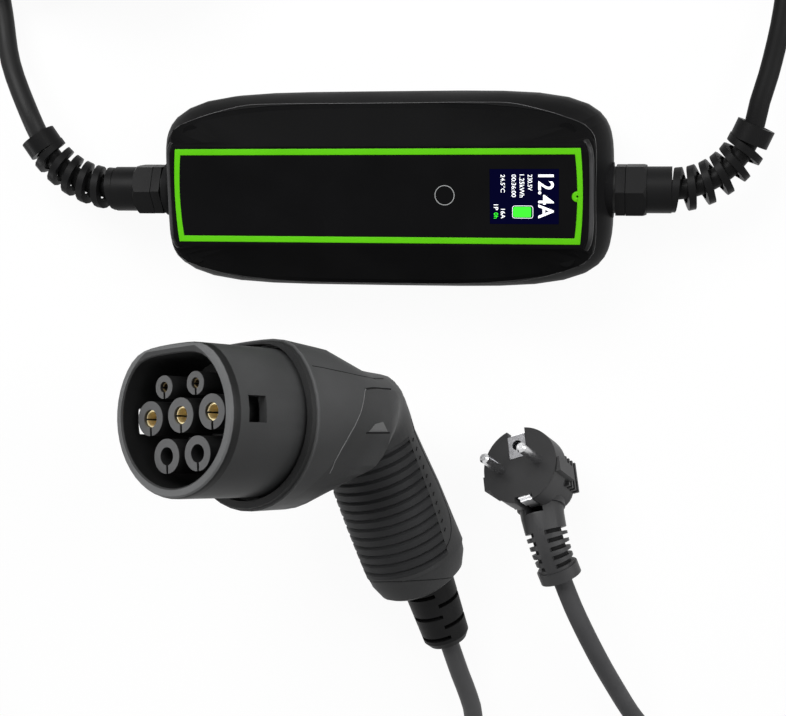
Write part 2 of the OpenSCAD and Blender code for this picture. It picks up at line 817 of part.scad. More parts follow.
module connector_body() {
    w = handle_w / 2;
    lip_r = collar_r - collar_lip;
    lip_flat = collar_flat - collar_lip;
    neck_low = -collar_r * 0.74;
    neck_high = collar_flat - 8;
    neck = (neck_high - neck_low) / 2;
    color("#2f3032")
    at_connector() difference() {
        loft([
            handle_ring(handle_l, w, 0.3),
            handle_ring(handle_l * 0.5, w + handle_swell(0.5), 0),
            handle_ring(3, w, 0),
            elbow_ring(turn * 0.85, w + 1, elbow_depth(0.85), 2.4),
            elbow_ring(turn * 0.65, w + 2.8, elbow_depth(0.65), 2.5),
            elbow_ring(turn * 0.45, w + 5.4, elbow_depth(0.45), 2.6),
            elbow_ring(turn * 0.22, w + 9.2, elbow_depth(0.22), 2.6),
            elbow_ring(0, w + 12.4, elbow_h, 2.5),
            body_ring([pivot[0] + 9, neck_low + neck], 0, collar_r - 2.6, neck, 2.2, neck * 0.98),
            body_ring([-nose_out - collar_l, 0], 0, collar_r - 0.4, collar_r - 0.4, 2, collar_flat - 2.8),
            body_ring([-nose_out - 2.4, 0], 0, collar_r, collar_r, 2, collar_flat),
            body_ring([-nose_out - 2, 0], 0, lip_r, lip_r, 2, lip_flat),
            body_ring([-nose_out, 0], 0, lip_r - 0.4, lip_r - 0.4, 2, lip_flat - 0.4)
        ]);
        loft([
            nose_ring(-nose_out - 6, nose_r + collar_gap, nose_flat + collar_gap),
            nose_ring(-nose_out + 1, nose_r + collar_gap, nose_flat + collar_gap)
        ]);
        loft([
            nose_ring(-nose_out - nose_tail - clearance, nose_r + clearance, nose_flat + clearance),
            nose_ring(-nose_out - 5, nose_r + clearance, nose_flat + clearance)
        ]);
        grip_block(0);
        elbow_notch();
    }
}

// Step across the back of the elbow, above the handle
module elbow_notch() {
    lean = turn * notch_turn;
    translate([pivot[0], 0, pivot[1]]) rotate([0, -lean, 0])
        translate([-notch_run / 2, -handle_w, elbow_depth(notch_turn) - notch_in])
            rotate([0, notch_slope, 0]) cube([notch_run, 2 * handle_w, 3 * notch_in]);
}

// Front half of the handle, where the grip lies: a band along the handle between its seams
module grip_block(gap) {
    seam = handle_d * 0.46;
    at = pivot - grip_start * [cos(turn), sin(turn)];
    l = handle_l - grip_start - grip_end;
    translate([at[0], 0, at[1]]) rotate([0, 90 - turn, 0])
        grip_space(seam - gap, l, gap);
}
module grip_space(seam, l, gap) {
    difference() {
        translate([-seam, -handle_w, -l + gap]) cube([2 * seam, 2 * handle_w, l - 2 * gap]);
        loft([grip_core(-l - 1), grip_core(1)]);
    }
}
// Section of the handle left under the grip
function grip_core(z) = [
    for (i = [0 : body_sides - 1])
        let (t = 360 * i / body_sides)
        let (d = handle_depth(grip_start - z) / 2)
        let (r = oval_r(t, d - grip_t, handle_w / 2 - grip_t, 2.3))
        [r * cos(t) - d, r * sin(t), z]
];

module grip_inlay() {
    l = handle_l - grip_start - grip_end;
    pitch = (l - 2 * clearance) / grip_ribs;
    start = grip_start + clearance;
    color("#3a3b3d")
    at_connector() difference() {
        loft([
            grip_ring(start + pitch * grip_ribs, 0),
            for (k = [grip_ribs - 1 : -1 : 0], side = [1, 0, -1])
                grip_ring(start + pitch * (k + 0.5 + side * groove_half), side == 0 ? rib_depth : 0),
            grip_ring(start, 0)
        ]);
        grip_back(l);
    }
}
// Section of the grip, s along the handle, sunk by depth in its grooves
function grip_ring(s, depth) =
    handle_ring(s, handle_w / 2 + handle_swell(s / handle_l), depth, grip_sides);
// What is taken away behind and inside the grip
module grip_back(l) {
    seam = handle_d * 0.46 - clearance;
    at = pivot - grip_start * [cos(turn), sin(turn)];
    translate([at[0], 0, at[1]]) rotate([0, 90 - turn, 0]) {
        translate([-seam - handle_d, -handle_w, -l - 2]) cube([handle_d, 2 * handle_w, l + 4]);
        loft([grip_core(-l - 1), grip_core(1)]);
    }
}

module handle_end_cap() {
    color("#28292b")
    at_connector() loft([
        handle_cap_ring(handle_l + cap_l, 6.1), handle_cap_ring(handle_l + cap_l - 1.5, 4),
        handle_cap_ring(handle_l + cap_l * 0.4, 1.4), handle_cap_ring(handle_l + eps, 0.8)
    ]);
}
// Section of the end cap, its sides set in from the handle's
function handle_cap_ring(s, inset) =
    body_ring(
        handle_centre(handle_l) - (s - handle_l) * [cos(turn), sin(turn)], turn, handle_w / 2 - inset,
        handle_d / 2 - inset, 2.3, handle_d / 2 - inset
    );

// Line of the cable through the end cap
handle_axis = pivot + handle_d * cable_back * [-sin(turn), cos(turn)];
// Frame at the end of the handle, X along the cable's way out
module at_handle_end() {
    at = handle_axis - (handle_l + cap_l) * [cos(turn), sin(turn)];
    translate([at[0], 0, at[1]]) rotate([0, 180 - turn, 0]) children();
}

module bend_protector() {
    row = protector_l / (slit_rows + 1);
    color("#1b1b1c")
    at_connector() at_handle_end() difference() {
        union() {
            cone_x(0, protector_l - 3, protector_d1, protector_d2);
            cone_x(protector_l - 3, 3, protector_d2, protector_d2 - 4);
        }
        for (i = [1 : slit_rows], side = [-1, 1])
            translate([row * i, 0, 0]) rotate([90 * (i % 2), 0, 0])
                translate([-1, side * protector_d1 * 0.53 - protector_d1 / 2, -protector_d1 * 0.34])
                    cube([2, protector_d1, protector_d1 * 0.68]);
        rod_x(protector_l - 20, 22, charge_d + 2 * clearance);
    }
}

/* Mains plug */

function plug_ring(x, w, d, p, z) = [
    for (i = [0 : plug_sides - 1])
        let (t = 360 * i / plug_sides, r = oval_r(t, w, d, p))
        [x, r * cos(t), z + r * sin(t)]
];

module plug_body() {
    r = plug_d / 2;
    color("#1a1a1b")
    at_plug() difference() {
        union() {
            rod_x(-rim_t, rim_t, plug_d);
            loft([
                plug_ring(-plug_depth, r - 8, r - 8, 2.6, -1),
                plug_ring(-plug_depth + 1.6, r - 5.4, r - 5.4, 2.6, -1),
                plug_ring(-plug_depth + 6, r - 3.2, r - 3, 2.5, -1),
                plug_ring(-rim_t - 5, r - 2, r - 2, 2.2, 0),
                plug_ring(-rim_t - 2, r - 1.4, r - 1.4, 2, 0),
                plug_ring(-rim_t + 1, r - 1.4, r - 1.4, 2, 0)
            ]);
            plug_boot();
            for (side = [-1, 1])
                translate([-guide_l / 2 - 1, side * (r - guide_in), -guide_low])
                    cube([guide_l, 2 * (guide_out + guide_in), guide_w], center = true);
            for (i = [0 : 3], side = [-1, 1])
                translate([-rim_t - 5 - 3.4 * i, side * (r - 3.2), -2])
                    cube([1.4, 3, 15], center = true);
        }
        for (y = [-pin_pitch / 2, pin_pitch / 2])
            translate([0, y, 0]) rod_x(-pin_root, pin_root + 1, pin_root_d);
        translate([0, 0, earth_z]) rod_x(-15, 16, earth_socket_d);
        for (side = [-1, 1])
            translate([-rim_t / 2, 0, side * (r - notch_depth / 2 + 1)])
                cube([rim_t * 3, notch_w, notch_depth + 2], center = true);
        translate([-plate_t, -plate_w / 2, plate_low])
            cube([plate_t + 1, plate_w, r - plate_low]);
    }
}

// Centre line of the strain relief, which bends from the plug's back towards the surface
boot_r = boot_l * 180 / PI / boot_bend;
function boot_point(a) = [boot_x - boot_r * (1 - cos(a)), 0, -boot_top - boot_r * sin(a)];
function boot_along(a) = [-sin(a), 0, -cos(a)];
function boot_ring(a, r) = [
    for (i = [0 : plug_sides / 2 - 1])
        let (t = 720 * i / plug_sides)
        boot_point(a) + r * cos(t) * [0, 1, 0] + r * sin(t) * [cos(a), 0, -sin(a)]
];
module at_boot(a) {
    translate(boot_point(a)) rotate([0, a, 0]) children();
}

module plug_boot() {
    slope = (boot_d2 - boot_d1) / 2 / boot_bend;
    first = boot_bend * 0.48;
    step = (boot_bend * 0.92 - first) / (boot_rows - 1);
    core_d = mains_d + 3;
    difference() {
        union() {
            translate([boot_x, 0, -boot_top - 4]) cylinder(d = boot_d1 + 1.4, h = boot_top);
            loft([for (k = [0 : 4]) let (a = boot_bend * k / 4) boot_ring(a, boot_d1 / 2 + slope * a)]);
            at_boot(boot_bend) translate([0, 0, -boot_ring_l])
                cylinder(d = boot_ring_d, h = boot_ring_l + 0.6);
        }
        for (i = [0 : boot_rows - 1]) at_boot(first + step * i) difference() {
            cube([2 * boot_d1, 2 * boot_d1, boot_slot], center = true);
            cube([3 * boot_d1, boot_spine, 2 * boot_slot], center = true);
            cylinder(d = core_d, h = 2 * boot_slot, center = true);
        }
        at_boot(boot_bend) translate([0, 0, -boot_ring_l - 1])
            cylinder(d = mains_d + 2 * clearance, h = boot_ring_l + 9);
    }
}

module plug_pin(side) {
    color("#c7c9cb")
    at_plug() translate([0, side * pin_pitch / 2, 0]) {
        rod_x(-pin_root, pin_root + 1, pin_root_d);
        rod_x(0, pin_l - pin_tip, pin_d);
        cone_x(pin_l - pin_tip, pin_tip, pin_d, pin_d - 1.6);
    }
}
module plug_live_pin() { plug_pin(1); }
module plug_neutral_pin() { plug_pin(-1); }

// Sprung earth strips in the notches at the top and bottom of the rim
module plug_earth_clips() {
    z = plug_d / 2 - notch_depth;
    color("#b9bbbd")
    at_plug() for (side = [-1, 1]) scale_side_z(side) {
        translate([-clip_l, -clip_w / 2, z]) cube([clip_l - 1, clip_w, clip_t]);
        translate([-clip_l * 0.6, -clip_w / 2, z + clip_t]) cube([clip_l * 0.4, clip_w, 0.9]);
    }
}
module scale_side_z(side) {
    if (side > 0) children();
    else mirror([0, 0, 1]) children();
}

module plug_earth_socket() {
    top = plug_d / 2 - notch_depth - clearance;
    color("#b9bbbd")
    at_plug() difference() {
        union() {
            translate([0, 0, earth_z]) rod_x(-14.8, 14.6, earth_socket_d - clearance);
            translate([-plate_t + clearance, -plate_w / 2 + clearance, plate_low + clearance])
                cube([plate_t, plate_w - 2 * clearance, top - plate_low - clearance]);
        }
        translate([0, 0, earth_z]) rod_x(-13, 14, earth_bore);
    }
}

/* Free cables */

// Cable through a gland and its relief, from the terminal to the relief's end
function gland_path(side, bend) =
    [for (p = concat(
        [[terminal_x + terminal_l / 2 - seat_x, 0, 0], [relief_x - 8, 0, 0]],
        [for (k = [0 : 5]) relief_point(relief_last * k / 5, bend)],
        [relief_point(relief_last, bend) + 10 * relief_along(relief_last, bend)]
    )) [side * (p[0] + seat_x), p[1], p[2] + gland_z]];

coil_w = coil_columns * coil_pitch;
coil_h = coil_layers * coil_pitch;

module charge_cable_box_side() {
    color("#151515")
    cable(concat(gland_path(-1, charge_bend), charge_route), charge_d);
}

module charge_cable_coil() {
    color("#151515")
    translate([coil_at[0], coil_at[1], coil_base]) rotate_extrude()
        translate([coil_mean_r - coil_w / 2, 0]) square([coil_w, coil_h]);
}

module coil_tie() {
    w = coil_w + 2 * tie_slack;
    h = coil_h + 2 * clearance;
    color("#101010")
    translate([coil_at[0] + coil_mean_r, coil_at[1], coil_base + coil_h / 2]) difference() {
        cube([w + 2 * tie_t, tie_w, h + 2 * tie_t], center = true);
        cube([w, tie_w + 2, h], center = true);
    }
}

// Cable ends inside the connector's bend protector and the plug's strain relief
function handle_point(l) =
    let (p = handle_axis - (handle_l + cap_l + l) * [cos(turn), sin(turn)]) on_connector([p[0], 0, p[1]]);
function boot_out(l) = on_plug(boot_point(boot_bend) + (boot_ring_l + l) * boot_along(boot_bend));

module charge_cable_connector_side() {
    color("#151515")
    cable(
        concat(connector_route, [for (l = [20, 0, -16]) handle_point(protector_l + l)]),
        charge_d
    );
}

module mains_cable() {
    color("#151515")
    cable(
        concat(gland_path(1, mains_bend), mains_route, [for (l = [16, 0, -12]) boot_out(l)]),
        mains_d
    );
}

lower_shell();
upper_shell();
shell_gasket();
shell_screws();
front_frame();
front_panel();
display_screen();
main_board();
board_screws();
live_relay();
neutral_relay();
current_sensor();
power_supply();
mains_terminal();
charge_terminal();
charge_gland_body();
charge_gland_gasket();
charge_lock_nut();
charge_gland_seal();
charge_gland_nut();
mains_gland_body();
mains_gland_gasket();
mains_lock_nut();
mains_gland_seal();
mains_gland_nut();
nose_shroud();
contact_insert();
neutral_contact();
earth_contact();
live_contact();
pilot_contact();
proximity_contact();
connector_body();
grip_inlay();
handle_end_cap();
bend_protector();
plug_body();
plug_live_pin();
plug_neutral_pin();
plug_earth_clips();
plug_earth_socket();
charge_cable_box_side();
charge_cable_coil();
coil_tie();
charge_cable_connector_side();
mains_cable();
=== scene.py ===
import math

import bpy
import bmesh
import numpy as np
from mathutils import Matrix, Vector
from mathutils.bvhtree import BVHTree


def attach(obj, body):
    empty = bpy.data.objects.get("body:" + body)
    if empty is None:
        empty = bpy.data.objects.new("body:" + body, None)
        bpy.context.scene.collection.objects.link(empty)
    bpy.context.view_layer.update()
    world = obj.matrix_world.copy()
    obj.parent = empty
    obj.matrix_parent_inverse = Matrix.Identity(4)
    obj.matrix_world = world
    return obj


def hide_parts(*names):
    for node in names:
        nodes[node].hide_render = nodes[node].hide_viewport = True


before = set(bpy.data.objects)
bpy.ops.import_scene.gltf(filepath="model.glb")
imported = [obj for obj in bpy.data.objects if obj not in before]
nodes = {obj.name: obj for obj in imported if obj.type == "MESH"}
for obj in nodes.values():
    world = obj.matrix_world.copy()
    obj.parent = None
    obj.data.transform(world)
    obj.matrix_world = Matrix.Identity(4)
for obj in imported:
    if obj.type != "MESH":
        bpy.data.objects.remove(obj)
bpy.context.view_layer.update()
MM = 0.001

# Camera of the photograph, in millimetres
camera_at = np.array([141.0, 80.0, 720.0])
camera_aim = np.array([-2.6, -85.7, 0.0])
camera_roll = math.radians(-1.17)
camera_lens = 70.03
camera_sensor = 36
camera_near = 0.01


def unit(v):
    return v / np.linalg.norm(v)


def add_camera():
    back = unit(camera_at - camera_aim)
    right = unit(np.cross([0, 1, 0], back))
    up = np.cross(back, right)
    c, s = math.cos(camera_roll), math.sin(camera_roll)
    turned_right = c * right + s * up
    turned_up = c * up - s * right
    data = bpy.data.cameras.new("camera")
    data.lens = camera_lens
    data.sensor_width = camera_sensor
    data.sensor_fit = "HORIZONTAL"
    data.clip_start = camera_near
    camera = bpy.data.objects.new("camera", data)
    turn = Matrix([list(turned_right), list(turned_up), list(back)]).transposed().to_4x4()
    camera.matrix_world = Matrix.Translation(Vector(camera_at * MM)) @ turn
    bpy.context.collection.objects.link(camera)
    bpy.context.scene.camera = camera


def add_lamp(name, at, aim, size, power):
    data = bpy.data.lights.new(name, "AREA")
    data.shape = "RECTANGLE"
    data.size, data.size_y = size
    data.energy = power
    place_lamp(name, data, at, aim)


def place_lamp(name, data, at, aim):
    lamp = bpy.data.objects.new(name, data)
    way = Vector(aim) - Vector(at)
    turn = way.to_track_quat("-Z", "Y").to_matrix().to_4x4()
    lamp.matrix_world = Matrix.Translation(Vector(at)) @ turn
    bpy.context.collection.objects.link(lamp)


def add_spot(name, at, aim, radius, width, power, edge=0.8):
    """Soft round lamp that lights a cone with a soft edge, its width in degrees."""
    data = bpy.data.lights.new(name, "SPOT")
    data.shadow_soft_size = radius
    data.spot_size = math.radians(width)
    data.spot_blend = edge
    data.energy = power
    place_lamp(name, data, at, aim)


# Node trees, where noise mostly lies between a low and a high value

noise_low = 0.3
noise_high = 0.7


def new_material(name):
    m = bpy.data.materials.new(name)
    m.use_nodes = True
    return m, m.node_tree, m.node_tree.nodes["Principled BSDF"]


def noise(tree, scale, detail):
    place = tree.nodes.new("ShaderNodeTexCoord")
    n = tree.nodes.new("ShaderNodeTexNoise")
    n.inputs["Scale"].default_value = scale
    n.inputs["Detail"].default_value = detail
    tree.links.new(place.outputs["Object"], n.inputs["Vector"])
    return n.outputs["Fac"]


def spread(tree, source, low, high):
    n = tree.nodes.new("ShaderNodeMapRange")
    n.inputs["From Min"].default_value = noise_low
    n.inputs["From Max"].default_value = noise_high
    n.inputs["To Min"].default_value = low
    n.inputs["To Max"].default_value = high
    tree.links.new(source, n.inputs["Value"])
    return n.outputs["Result"]


def blend_colours(tree, source, dark, light):
    n = tree.nodes.new("ShaderNodeValToRGB")
    n.color_ramp.elements[0].position = noise_low
    n.color_ramp.elements[0].color = (*dark, 1)
    n.color_ramp.elements[1].position = noise_high
    n.color_ramp.elements[1].color = (*light, 1)
    tree.links.new(source, n.inputs["Fac"])
    return n.outputs["Color"]


def bump(tree, source, depth):
    n = tree.nodes.new("ShaderNodeBump")
    n.inputs["Strength"].default_value = 1
    n.inputs["Distance"].default_value = depth
    tree.links.new(source, n.inputs["Height"])
    return n.outputs["Normal"]


def shade(colour, k):
    return tuple(min(1.0, c * k) for c in colour)


def moulded(name, colour, rough=(0.45, 0.6), grain=1400, depth=0.00004, cloud=38, vary=0.16, level=0.4):
    """Plastic or rubber with a fine grain, and with clouds in its colour and roughness."""
    m, tree, shader = new_material(name)
    clouds = noise(tree, cloud, 4)
    fine = noise(tree, grain, 2)
    colours = blend_colours(tree, clouds, shade(colour, 1 - vary), shade(colour, 1 + vary))
    tree.links.new(colours, shader.inputs["Base Color"])
    tree.links.new(spread(tree, clouds, *rough), shader.inputs["Roughness"])
    tree.links.new(bump(tree, fine, depth), shader.inputs["Normal"])
    shader.inputs["Specular IOR Level"].default_value = level
    return m


def metal(name, colour, rough, grain=500, depth=0.00001, cloud=120, dark=0.86, light=1.06):
    """Metal with a fine grain in its roughness, and with clouds from dark to light in its colour."""
    m, tree, shader = new_material(name)
    clouds = noise(tree, cloud, 3)
    fine = noise(tree, grain, 3)
    colours = blend_colours(tree, clouds, shade(colour, dark), shade(colour, light))
    tree.links.new(colours, shader.inputs["Base Color"])
    tree.links.new(spread(tree, fine, *rough), shader.inputs["Roughness"])
    tree.links.new(bump(tree, fine, depth), shader.inputs["Normal"])
    shader.inputs["Metallic"].default_value = 1
    return m


def lit(name, colour, strength, level, grain=3000, dim=0.94, rough=0.4):
    """Surface that gives light of its own, a little dimmer in the grain."""
    m, tree, shader = new_material(name)
    fine = noise(tree, grain, 1)
    colours = blend_colours(tree, fine, shade(colour, dim), colour)
    tree.links.new(colours, shader.inputs["Emission Color"])
    tree.links.new(colours, shader.inputs["Base Color"])
    shader.inputs["Emission Strength"].default_value = strength
    shader.inputs["Specular IOR Level"].default_value = level
    shader.inputs["Roughness"].default_value = rough
    return m


def dress(material, *names):
    for name in names:
        mesh = nodes[name].data
        mesh.materials.clear()
        mesh.materials.append(material)


weld_reach = 0.000004
even_weight = 90


def smooth(name, angle, bevel, steps=2):
    """Join the facets, and then either round the edges above the angle by a bevel in millimetres, or keep
    them sharp where there is no bevel.
    """
    piece = nodes[name]
    normals = piece.data.attributes.get("custom_normal")
    if normals:
        piece.data.attributes.remove(normals)
    piece.data.shade_smooth()
    weld = piece.modifiers.new("weld", "WELD")
    weld.merge_threshold = weld_reach
    if bevel:
        edge = piece.modifiers.new("edge", "BEVEL")
        edge.width = bevel * MM
        edge.segments = steps
        edge.limit_method = "ANGLE"
        edge.angle_limit = math.radians(angle)
        even = piece.modifiers.new("even", "WEIGHTED_NORMAL")
        even.weight = even_weight
    else:
        split = piece.modifiers.new("split", "EDGE_SPLIT")
        split.split_angle = math.radians(angle)


# Materials

shell_black = moulded(
    "shell_black", (0.0046, 0.0046, 0.0048), rough=(0.36, 0.46), grain=1900, depth=0.00002, level=0.01,
)
panel_black = moulded(
    "panel_black", (0.0033, 0.0033, 0.0036), rough=(0.2, 0.3), grain=300, depth=0.000004, level=0.03,
)
frame_green = moulded(
    "frame_green", (0.088, 0.45, 0.0015), rough=(0.4, 0.5), vary=0.04, grain=900, depth=0.00001, level=0.15,
)
screen_blue = lit("screen_blue", (0.0006, 0.0006, 0.01), 0.7, 0.01)
gland_black = moulded(
    "gland_black", (0.006, 0.006, 0.0062), rough=(0.36, 0.5), grain=1500, depth=0.00003, level=0.07,
)
jacket_black = moulded(
    "jacket_black", (0.006, 0.006, 0.0062), rough=(0.42, 0.56), grain=900, depth=0.00005, level=0.1,
)
cord_black = moulded(
    "cord_black", (0.011, 0.011, 0.0113), rough=(0.42, 0.56), grain=900, depth=0.00005, level=0.17,
)
lead_black = moulded(
    "lead_black", (0.006, 0.006, 0.0062), rough=(0.46, 0.6), grain=900, depth=0.00005, level=0.08,
)
nose_grey = moulded(
    "nose_grey", (0.036, 0.0365, 0.037), rough=(0.42, 0.56), grain=1300, depth=0.00004, level=0.16,
)
insert_grey = moulded(
    "insert_grey", (0.05, 0.0505, 0.0515), rough=(0.5, 0.62), grain=1300, depth=0.00003, level=0.3,
)
body_grey = moulded(
    "body_grey", (0.043, 0.0435, 0.0442), rough=(0.46, 0.6), grain=1200, depth=0.00006, level=0.14,
)
grip_grey = moulded(
    "grip_grey", (0.02, 0.0203, 0.021), rough=(0.44, 0.58), grain=1100, depth=0.00006, level=0.1,
)
plug_black = moulded(
    "plug_black", (0.018, 0.018, 0.0185), rough=(0.4, 0.52), grain=1500, depth=0.00003, level=0.16,
)
# Dark line material for real seams and dots, and for painted shadow lines along the connector head's crease,
# under its step, at the latch recess's foot and in the plug's strain relief
seam_and_shadow_dark = moulded("seam_and_shadow_dark", (0.004, 0.004, 0.0042), rough=(0.6, 0.7), level=0.1)
# Pale line material: a painted highlight along the connector head's edge
edge_highlight_grey = moulded("edge_highlight_grey", (0.11, 0.11, 0.112), rough=(0.5, 0.6))
# Grey line materials for painted highlights along the box cover's edge and along the inner edges at its ends
cover_highlight = moulded("cover_highlight", (0.022, 0.022, 0.0225), rough=(0.32, 0.42))
end_highlight = moulded("end_highlight", (0.034, 0.034, 0.035), rough=(0.32, 0.42), level=0.15)
# The lighter grey of the latch recess plate is a painted highlight
recess_highlight_grey = moulded("recess_highlight_grey", (0.07, 0.0705, 0.071), rough=(0.46, 0.6))
nickel = metal("nickel", (0.62, 0.62, 0.63), rough=(0.16, 0.26))
tin = metal("tin", (0.72, 0.72, 0.73), rough=(0.34, 0.46))
earth_metal = metal("earth_metal", (0.26, 0.26, 0.27), rough=(0.2, 0.34))
brass = metal("brass", (1.0, 0.83, 0.5), rough=(0.4, 0.52), grain=900)
# Darker brass is painted shade for the pilot and proximity contacts, which sit deeper in their towers
shaded_brass = metal("shaded_brass", (0.16, 0.12, 0.06), rough=(0.4, 0.5), grain=900)
zinc = metal("zinc", (0.5, 0.51, 0.53), rough=(0.28, 0.42))
seal_black = moulded("seal_black", (0.01, 0.01, 0.01), rough=(0.6, 0.75), grain=800)
board_green = moulded("board_green", (0.02, 0.1, 0.035), rough=(0.25, 0.4), cloud=200, vary=0.3)
relay_blue = moulded("relay_blue", (0.02, 0.04, 0.09), rough=(0.3, 0.45))
module_black = moulded("module_black", (0.012, 0.012, 0.013), rough=(0.4, 0.5))
terminal_green = moulded("terminal_green", (0.03, 0.14, 0.06), rough=(0.35, 0.5))
strap_black = moulded("strap_black", (0.012, 0.012, 0.0125), rough=(0.75, 0.9), grain=700, depth=0.0002)

dress(shell_black, "lower_shell", "upper_shell")
dress(seal_black, "shell_gasket")
dress(zinc, "shell_screws", "board_screws")
dress(frame_green, "front_frame")
dress(panel_black, "front_panel")
dress(screen_blue, "display_screen")
dress(board_green, "main_board")
dress(relay_blue, "live_relay", "neutral_relay")
dress(module_black, "current_sensor", "power_supply")
dress(terminal_green, "mains_terminal", "charge_terminal")
for side in ("charge", "mains"):
    dress(seal_black, side + "_gland_gasket", side + "_gland_seal")
    dress(gland_black, side + "_gland_body", side + "_lock_nut", side + "_gland_nut")
dress(nose_grey, "nose_shroud")
dress(insert_grey, "contact_insert")
dress(brass, "neutral_contact", "earth_contact", "live_contact")
# The pilot and proximity contacts get the darker brass as painted shade
dress(shaded_brass, "pilot_contact", "proximity_contact")
dress(body_grey, "connector_body", "handle_end_cap")
dress(grip_grey, "grip_inlay")
dress(jacket_black, "bend_protector")
dress(plug_black, "plug_body")
dress(nickel, "plug_live_pin", "plug_neutral_pin")
dress(tin, "plug_earth_clips")
dress(earth_metal, "plug_earth_socket")
dress(strap_black, "coil_tie")

plain_edge_angle = 30
edge_angle = {"upper_shell": 16, "lower_shell": 16, "connector_body": 24, "plug_body": 24}
edge_round = {"front_frame": 0.25, "charge_gland_body": 0.4, "mains_gland_body": 0.4}
for name in nodes:
    smooth(name, edge_angle.get(name, plain_edge_angle), edge_round.get(name, 0))


def turned(*steps):
    """Rotation made of steps, each of degrees and an axis, the first one outermost."""
    out = Matrix.Identity(3)
    for degrees, axis in steps:
        out = out @ Matrix.Rotation(math.radians(degrees), 3, axis)
    return out


# Frame of the vehicle connector, x out of its nose, y to its right and z up
connector_at = np.array([-67.2, -79.0, 142.5])
connector_turn = turned((-76, "Z"), (24, "X"), (-110, "Y"))
nose_axis = np.array(connector_turn.col[0])
nose_up = np.array(connector_turn.col[2])


def past(tree, way, limit, soft=0.1, at=connector_at):
    """One where a point lies beyond the limit along a way from a place, in millimetres, else zero."""
    place = tree.nodes.new("ShaderNodeTexCoord")
    along = tree.nodes.new("ShaderNodeVectorMath")
    along.operation = "DOT_PRODUCT"
    along.inputs[1].default_value = tuple(way)
    tree.links.new(place.outputs["Object"], along.inputs[0])
    reach = tree.nodes.new("ShaderNodeMapRange")
    start = float(np.dot(at, way))
    reach.inputs["From Min"].default_value = (start + limit - soft) * MM
    reach.inputs["From Max"].default_value = (start + limit + soft) * MM
    tree.links.new(along.outputs["Value"], reach.inputs["Value"])
    return reach.outputs["Result"]


def outside(tree, radius, soft=0.1):
    """One where a point lies further than the radius from the nose's axis, in millimetres, else zero."""
    place = tree.nodes.new("ShaderNodeTexCoord")
    away = tree.nodes.new("ShaderNodeVectorMath")
    away.operation = "SUBTRACT"
    away.inputs[1].default_value = tuple(connector_at * MM)
    tree.links.new(place.outputs["Object"], away.inputs[0])
    across = tree.nodes.new("ShaderNodeVectorMath")
    across.operation = "CROSS_PRODUCT"
    across.inputs[1].default_value = tuple(nose_axis)
    tree.links.new(away.outputs["Vector"], across.inputs[0])
    far = tree.nodes.new("ShaderNodeVectorMath")
    far.operation = "LENGTH"
    tree.links.new(across.outputs["Vector"], far.inputs[0])
    reach = tree.nodes.new("ShaderNodeMapRange")
    reach.inputs["From Min"].default_value = (radius - soft) * MM
    reach.inputs["From Max"].default_value = (radius + soft) * MM
    tree.links.new(far.outputs["Value"], reach.inputs["Value"])
    return reach.outputs["Result"]


def joined(tree, operation, a, b):
    n = tree.nodes.new("ShaderNodeMath")
    n.operation = operation
    tree.links.new(a, n.inputs[0])
    tree.links.new(b, n.inputs[1])
    return n.outputs["Value"]


def either(tree, a, b):
    return joined(tree, "MAXIMUM", a, b)


def both(tree, a, b):
    return joined(tree, "MINIMUM", a, b)


def opposite(tree, a):
    n = tree.nodes.new("ShaderNodeMath")
    n.operation = "SUBTRACT"
    n.inputs[0].default_value = 1
    tree.links.new(a, n.inputs[1])
    return n.outputs["Value"]


def tint(material, source, dark, light):
    """Multiply the colour of a material by dark where the source is zero and by light where it is one."""
    tree = material.node_tree
    colour = tree.nodes["Principled BSDF"].inputs["Base Color"]
    under = colour.links[0].from_socket
    scale = tree.nodes.new("ShaderNodeMapRange")
    scale.inputs["To Min"].default_value = dark
    scale.inputs["To Max"].default_value = light
    tree.links.new(source, scale.inputs["Value"])
    n = tree.nodes.new("ShaderNodeVectorMath")
    n.operation = "SCALE"
    tree.links.new(under, n.inputs[0])
    tree.links.new(scale.outputs["Result"], n.inputs["Scale"])
    tree.links.new(n.outputs["Vector"], colour)


# Limits on the connector, in millimetres from the middle of its nose's face
tower_tops = -5.3
cavity_r = 30.8
cavity_top = 27.4
rim_front = -1.1
rim_back = -4.8
rim_r = 33
rim_top = 28.4
underside = -10
underside_soft = 16
neck_start = 63.6
neck_top = 11
collar_start = -45.2
collar_edge_start = -46.2
head_end = -84
head_end_soft = 8

# Painted light and shade: the tower ends are painted lighter, and their sides and the nose's cavity are
# painted dark as painted shade
tint(insert_grey, past(insert_grey.node_tree, nose_axis, tower_tops), 0.1, 1)
nose_tree = nose_grey.node_tree
nose_skin = either(nose_tree, outside(nose_tree, cavity_r), past(nose_tree, nose_up, cavity_top))
tint(nose_grey, nose_skin, 0.3, 1)

# Painted light and shade on the nose: its rim face is painted paler as a painted highlight, the band behind
# the rim is painted darker, and its lower side is painted darker as painted shade
rim_face = past(nose_tree, nose_axis, rim_front, 0.15)
rim_edge = either(nose_tree, outside(nose_tree, rim_r), past(nose_tree, nose_up, rim_top))
near_rim = both(nose_tree, past(nose_tree, nose_axis, rim_back, 0.3), rim_edge)
rim_band = both(nose_tree, near_rim, opposite(nose_tree, rim_face))
nose_upper = either(nose_tree, rim_face, past(nose_tree, nose_up, underside, underside_soft))
tint(nose_grey, rim_band, 1, 0.1)
tint(nose_grey, rim_face, 1, 2.2)
tint(nose_grey, nose_upper, 0.5, 1)

# Neck and handle are a little darker than the head, beyond the head's edge and below its step
neck_way = unit(-0.858 * nose_axis - 0.514 * nose_up)
body_tree = body_grey.node_tree
below_step = opposite(body_tree, past(body_tree, nose_up, neck_top, 0.3))
tint(body_grey, both(body_tree, past(body_tree, neck_way, neck_start, 0.3), below_step), 1, 0.68)

